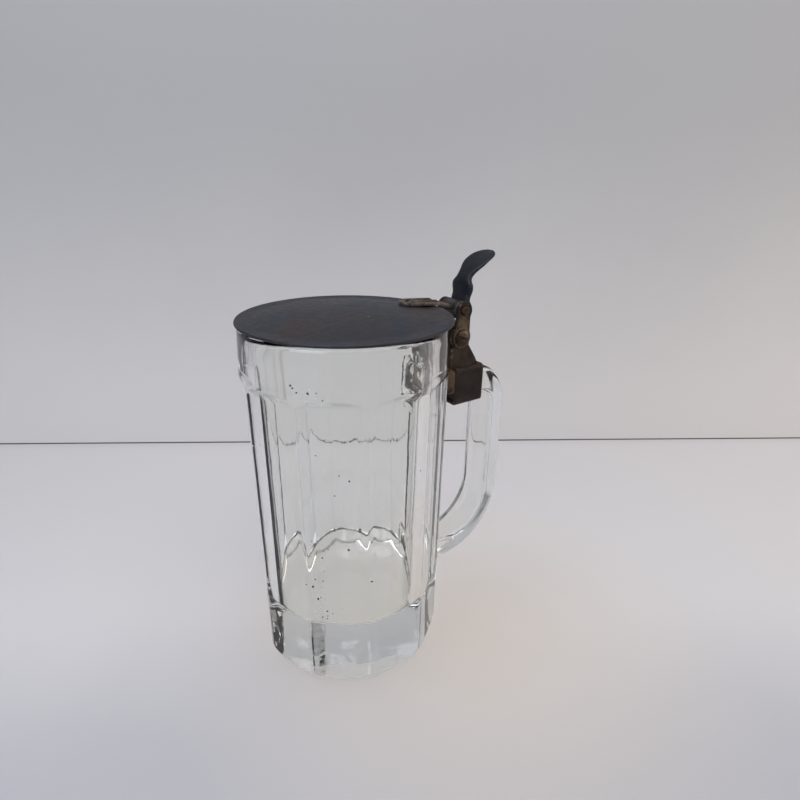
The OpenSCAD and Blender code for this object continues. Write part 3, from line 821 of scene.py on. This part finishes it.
def buildPacking(s, h):
    # fills the band and presses a hair into the glass all round the arm
    bm = bmesh.new()
    size = (s["x"][1] - s["x"][0], 2 * s["half"], s["z"][1] - s["z"][0])
    middle = (sum(s["x"]) / 2, 0, sum(s["z"]) / 2)
    bmesh.ops.create_cube(bm, size=1, matrix=Matrix.Translation(middle) @ Matrix.Diagonal((*size, 1)))
    bevelSharp(bm, 0.5, 3)
    packing = makePiece("handle_packing_cork", bm, packingCork(), "mug", ["handle_packing"])
    bm = bmesh.new()
    wide, thick = h["wide"] - 2 * s["bite"], h["thick"] - 2 * s["bite"]
    roundedSection(bm, 45, wide, thick, h["armHeight"], s["corner"], 6)
    arm = bmesh.ops.extrude_face_region(bm, geom=list(bm.faces))["geom"]
    bmesh.ops.translate(bm, verts=[g for g in arm if isinstance(g, bmesh.types.BMVert)], vec=(30, 0, 0))
    bmesh.ops.recalc_face_normals(bm, faces=bm.faces)
    cutWith(packing, makePiece("tool", bm, None, None, None))


buildPacking(packingSizes, handleSizes)
print("clamp fitted")


# ---- lid ----

lidSizes = {"x": 1, "radius": 43.5, "under": 150.15, "sheet": 1.1, "bead": 0.65, "domeEdge": 37, "dome": 3,
            "steps": 180}


def domeRise(s, radius):
    ball = (s["domeEdge"] ** 2 + s["dome"] ** 2) / (2 * s["dome"])
    return math.sqrt(ball ** 2 - radius ** 2) - ball + s["dome"] if radius < s["domeEdge"] else 0.0


def buildLid(s):
    top = s["under"] + s["sheet"]
    across = [3, 8, 13, 18, 23, 28, 32, 34.5, 36, 37, 38.5, 40.5]
    profile = [(0, top + s["dome"])] + [(r, top + domeRise(s, r)) for r in across]
    profile += arcPoints(s["radius"] - s["bead"], s["under"] + s["bead"], s["bead"], 60, -90, 10)
    profile += [(r, s["under"] + domeRise(s, r)) for r in reversed(across)] + [(0, s["under"] + s["dome"])]
    bm = spunRound(profile, s["steps"])
    bmesh.ops.translate(bm, verts=bm.verts, vec=(s["x"], 0, 0))
    for v in bm.verts:
        v.co.z += 0.12 * noise.noise(v.co / 14) * smoothStep(43.3, 34, math.hypot(v.co.x - s["x"], v.co.y))
    lid = makePiece("lid_disc_sheet", bm, lidFinish, "lid", ["lid_disc"])
    cutRivetHoles(lid, s["under"])


buildLid(lidSizes)

strapSizes = {"tip": 27.5, "knee": 46, "hip": 55.5, "wide": 7.6, "sheet": 1.5, "tipZ": 152.85,
              "kneeZ": 151.37, "hipZ": 148.7,
              "ridge": 0.85, "ridgeSide": 2.35}


def strapUnderside(s, x):
    if x < s["knee"]:
        return s["tipZ"] + (x - s["tip"]) / (s["knee"] - s["tip"]) * (s["kneeZ"] - s["tipZ"])
    return s["kneeZ"] + (x - s["knee"]) / (s["hip"] - s["knee"]) * (s["hipZ"] - s["kneeZ"])


def buildStrap(s):
    bm = bmesh.new()
    bmesh.ops.create_grid(bm, x_segments=64, y_segments=34, size=1)
    bmesh.ops.solidify(bm, geom=list(bm.faces), thickness=1)
    bmesh.ops.recalc_face_normals(bm, faces=bm.faces)
    middle = sum(v.co.z for v in bm.verts) / len(bm.verts)
    half = s["wide"] / 2
    end = 54.3
    for v in bm.verts:
        along, across, isTop = (v.co.x + 1) / 2, v.co.y, v.co.z > middle
        x = s["tip"] + (end - s["tip"]) * along ** 1.25
        nose = x - s["tip"]
        width = math.sqrt(max(half ** 2 - (half - nose) ** 2, 0)) if nose < half else half
        y = across * max(width, 0.15)
        z = strapUnderside(s, x)
        if isTop:
            z += s["sheet"]
            fade = smoothStep(2.0, 3.5, nose) * smoothStep(s["knee"] + 0.5, s["knee"] - 1.5, x)
            off = abs(abs(y) - s["ridgeSide"])
            if off < s["ridge"]:
                z += fade * math.sqrt(s["ridge"] ** 2 - off ** 2)
            z -= 0.25 * smoothStep(1.2, 0.0, abs(y)) * fade
        v.co = (x, y, z)
    bmesh.ops.remove_doubles(bm, verts=bm.verts, dist=0.01)
    bevelSharp(bm, 0.3, 2, 70)
    strap = makePiece("lid_strap_ribbed", bm, strapMetal, "lid", ["lid_strap"])
    cutWith(strap, rodTool(knuckleClear, -6, 6, *pinAt, 64))
    cutRivetHoles(strap, 152)


buildStrap(strapSizes)

rivetSizes = {"at": rivetAt, "radius": 1.0, "head": 1.6, "headHigh": 0.7, "tail": 150.05}


def buildRivets(s):
    whole = bmesh.new()
    for x in s["at"]:
        seat = strapUnderside(strapSizes, x - s["head"]) + strapSizes["sheet"]
        profile = [(0, s["tail"]), (s["radius"] - 0.1, s["tail"]), (s["radius"], s["tail"] + 0.1),
                   (s["radius"], seat),
                   (s["head"] - 0.1, seat), (s["head"], seat + 0.1)]
        profile += [(s["head"] * math.cos(a), seat + 0.1 + (s["headHigh"] - 0.1) * math.sin(a))
                    for a in (0.3, 0.6, 0.9, 1.2)] + [(0, seat + s["headHigh"])]
        one = spunRound(profile, 32)
        bmesh.ops.translate(one, verts=one.verts, vec=(x, 0, 0))
        carried = bpy.data.meshes.new("rivet")
        one.to_mesh(carried)
        one.free()
        whole.from_mesh(carried)
        bpy.data.meshes.remove(carried)
    makePiece("strap_rivets_domed", whole, blockIron, "lid", ["strap_rivets"])


buildRivets(rivetSizes)

knuckleSizes = {"radius": 4.2, "bore": 1.85, "half": 5.6}


def buildKnuckle(s):
    r, b, h = s["radius"], s["bore"], s["half"]
    outline = [(b, -h + 0.15), (b + 0.15, -h)] + arcPoints(r - 0.45, -h + 0.45, 0.45, -90, 0, 4)
    outline += stepsBetween((r, -h + 0.45), (r, h - 0.45), 8)[:-1] + arcPoints(r - 0.45, h - 0.45, 0.45, 0,
                                                                               90, 4)
    outline += [(b + 0.15, h), (b, h - 0.15)]
    bm = spunRound(outline, 72, closed=True)
    layAlongY(bm, *pinAt)
    makePiece("lid_knuckle_rolled", bm, knuckleMetal, "lid", ["lid_knuckle"])


buildKnuckle(knuckleSizes)

liftSizes = {"centre": (87.4, 146.3), "curve": 27, "foot": 11.2, "bulge": 0.8, "waist": 8.8, "leaf": 14,
             "thickLow": 3.4, "thickTip": 1.9,
             "from": 172.0, "to": 104.5, "dish": 0.5, "upright": 2.7, "tipHalf": 1.2}


def liftHalfWidth(s, angle):
    # half width along the blade, by the angle on its curve
    t = (s["from"] - angle) / (s["from"] - s["to"])  # 0 at the foot, 1 at the tip
    foot = s["foot"] / 2 + s["bulge"] * smoothStep(0.12, 0.24, t)
    waist = foot + (s["waist"] / 2 - foot) * smoothStep(0.28, 0.4, t)
    width = waist + (s["leaf"] / 2 - s["waist"] / 2) * smoothStep(0.42, 0.7, t)
    tail = (t - 0.76) / 0.24
    return width * math.sqrt(max(1 - tail ** 2.2, 0)) if tail > 0 else width


def buildLift(s):
    bm = bmesh.new()
    bmesh.ops.create_grid(bm, x_segments=70, y_segments=22, size=1)
    bmesh.ops.solidify(bm, geom=list(bm.faces), thickness=1)
    bmesh.ops.recalc_face_normals(bm, faces=bm.faces)
    middle = sum(v.co.z for v in bm.verts) / len(bm.verts)
    for v in bm.verts:
        along, across, isOuter = (v.co.x + 1) / 2, v.co.y, v.co.z > middle
        t = 1 - (1 - along) ** 1.3
        angle = s["from"] + (s["to"] - s["from"]) * t
        half = max(liftHalfWidth(s, angle), s["tipHalf"])
        y = across * half
        thick = s["thickLow"] + (s["thickTip"] - s["thickLow"]) * smoothStep(0.1, 0.9, t)
        thick *= 0.35 + 0.65 * math.sqrt(max(1 - abs(across) ** 3, 0)) if t > 0.05 else 1
        dish = s["dish"] * smoothStep(0.5, 0.75, t) * (1 - across ** 2)
        radius = s["curve"] + (thick / 2 if isOuter else -thick / 2) - dish
        turn = math.radians(angle)
        x, z = s["centre"][0] + radius * math.cos(turn), s["centre"][1] + radius * math.sin(turn)
        v.co = (x - s["upright"] * smoothStep(154, 163, z), y, z)
    bmesh.ops.remove_doubles(bm, verts=bm.verts, dist=0.02)
    bmesh.ops.recalc_face_normals(bm, faces=bm.faces)
    bevelSharp(bm, 0.3, 2, 60)
    lift = makePiece("thumb_lift_leaf", bm, liftSteel, "lid", ["thumb_lift"], sharp=50)
    cutWith(lift, rodTool(knuckleClear, -9, 9, *pinAt, 64), sharp=50)


buildLift(liftSizes)
print("lid hung")


# ---- floor, wall and light ----

roomSizes = {"wallAt": 198, "wallTurn": (0.536, 0.844), "gap": 0.6, "seamShade": 1.5, "warmAt": (40, -40, 0),
             "warmReach": 130}


def paperStage(name, near, far, axis, start, stop):
    # matt white card, a little cloudy, whose colour shades off slowly along one axis as painted light falloff
    # (mm)
    material, tree, shader, place = startMaterial(name)
    cloud = addNode(tree, "ShaderNodeTexNoise", {"Scale": 7.0, "Detail": 4.0}, {"Vector": place})
    along = addNode(tree, "ShaderNodeVectorMath", {"operation": "DOT_PRODUCT", 1: axis}, {0: place})
    spread = addNode(tree, "ShaderNodeMath", {"operation": "MULTIPLY_ADD", 1: 0.05},
                     {0: cloud.outputs["Fac"], 2: along.outputs["Value"]})
    paintedFalloff = addNode(tree, "ShaderNodeMapRange",
                    {"From Min": start * mm, "From Max": stop * mm, "interpolation_type": "SMOOTHSTEP"},
                    {"Value": spread.outputs[0]})
    tone = mixColour(tree, paintedFalloff.outputs["Result"], near, far)
    tree.links.new(tone.outputs[2], shader.inputs["Base Color"])
    shader.inputs["Roughness"].default_value = 0.85
    shader.inputs["Specular IOR Level"].default_value = 0.2
    return material, tree, shader, place, tone


def addStage(s):
    turn = s["wallTurn"]
    bm = bmesh.new()
    bmesh.ops.create_grid(bm, x_segments=2, y_segments=2, size=2500)
    # painted shade: the floor paper darkens towards the front, away from the wall
    floorPaper, tree, shader, place, tone = paperStage("floorPaper", "#b9b9bc", "#d4d2d2",
                                                       (turn[0], turn[1], 0), -70, 45)
    away = addNode(tree, "ShaderNodeVectorMath", {"operation": "DISTANCE", 1: [v * mm for v in s["warmAt"]]},
                   {0: place})
    warm = addNode(tree, "ShaderNodeMapRange",
                   {"From Min": s["warmReach"] * mm, "From Max": 0.01, "To Max": 0.8},
                   {"Value": away.outputs["Value"]})
    # painted light: a pool of warm lamplight painted into the paper's colour
    paintedWarmPool = mixColour(tree, warm.outputs["Result"], tone.outputs[2], "#d6ccc0")
    tree.links.new(paintedWarmPool.outputs[2], shader.inputs["Base Color"])
    bmesh.ops.translate(bm, verts=bm.verts, vec=(0, 0, -s["gap"] / 4))
    floor = makePiece("floor", bm, floorPaper, None, None)
    bm = bmesh.new()
    bmesh.ops.create_grid(bm, x_segments=2, y_segments=2, size=1)
    bmesh.ops.scale(bm, vec=(1200, 400, 1), verts=bm.verts)
    bmesh.ops.rotate(bm, verts=bm.verts, cent=(0, 0, 0), matrix=Matrix.Rotation(math.radians(90), 3, "X"))
    bmesh.ops.rotate(bm, verts=bm.verts, cent=(0, 0, 0),
                     matrix=Matrix.Rotation(-math.atan2(turn[0], turn[1]), 3, "Z"))
    bmesh.ops.translate(bm, verts=bm.verts,
                        vec=(s["wallAt"] * turn[0], s["wallAt"] * turn[1], 400 + s["gap"]))
    # painted shade: the wall paper darkens towards its top
    wallPaper, tree, shader, place, tone = paperStage("wallPaper", "#d6d4d2", "#b2b2b2", (0, 0, 1), 40, 300)
    height = addNode(tree, "ShaderNodeSeparateXYZ", {}, {0: place})
    seamShade = addNode(tree, "ShaderNodeMapRange", {"From Min": s["seamShade"] * mm, "From Max": s["seamShade"] * 1.3 * mm},
                   {"Value": height.outputs["Z"]})
    # painted shade: the card's bottom 1.5 mm is painted dark grey for the shadowed gap over the table
    paintedGapShade = mixColour(tree, seamShade.outputs["Result"], "#5e5b59", tone.outputs[2])
    tree.links.new(paintedGapShade.outputs[2], shader.inputs["Base Color"])
    side = addNode(tree, "ShaderNodeNewGeometry")
    clear = addNode(tree, "ShaderNodeBsdfTransparent")
    oneSided = addNode(tree, "ShaderNodeMixShader", {},
                       {0: side.outputs["Backfacing"], 1: shader.outputs[0], 2: clear.outputs[0]})
    tree.links.new(oneSided.outputs[0], tree.nodes["Material Output"].inputs["Surface"])
    wall = makePiece("wall", bm, wallPaper, None, None)


addStage(roomSizes)

lightSettings = [
    # name, place mm, aim mm, size mm, watts, colour
    ("overhead", (-60, -120, 700), (0, 0, 60), (700, 600), 2.4, "#f6f7fd"),
    ("windowLeft", (-620, -260, 420), (0, 0, 70), (500, 600), 2.6, "#e8edfd"),
    ("warmRight", (480, -420, 260), (40, 0, 60), (300, 400), 1.0, "#fff0e2"),
]


def addLights(rows):
    for name, place, aim, size, watts, colour in rows:
        data = bpy.data.lights.new(name, "AREA")
        data.shape = "RECTANGLE"
        data.size, data.size_y = size[0] * mm, size[1] * mm
        data.energy = watts
        data.color = hexColour(colour)[:3]
        lamp = bpy.data.objects.new(name, data)
        lamp.location = [v * mm for v in place]
        lamp.rotation_mode = "QUATERNION"
        lamp.rotation_quaternion = (Vector(aim) - Vector(place)).to_track_quat("-Z", "Y")
        bpy.context.scene.collection.objects.link(lamp)
    world = bpy.data.worlds.new("studioRoom")
    bpy.context.scene.world = world
    world.use_nodes = True
    tree = world.node_tree
    back = tree.nodes["Background"]
    ray = addNode(tree, "ShaderNodeTexCoord")
    parts = addNode(tree, "ShaderNodeSeparateXYZ", {}, {0: ray.outputs["Generated"]})
    sky = addNode(tree, "ShaderNodeMapRange", {"From Min": -0.1, "From Max": 0.6},
                  {"Value": parts.outputs["Z"]})
    tone = mixColour(tree, sky.outputs["Result"], "#8c8c88", "#dcdee2")
    tree.links.new(tone.outputs[2], back.inputs["Color"])
    back.inputs["Strength"].default_value = 0.55


addLights(lightSettings)
bpy.context.scene.view_settings.view_transform = "Standard"
paths = bpy.context.scene.cycles  # thick glass needs long light paths
paths.max_bounces = 32
paths.transmission_bounces = 32
paths.caustics_reflective = False
print("stage lit")
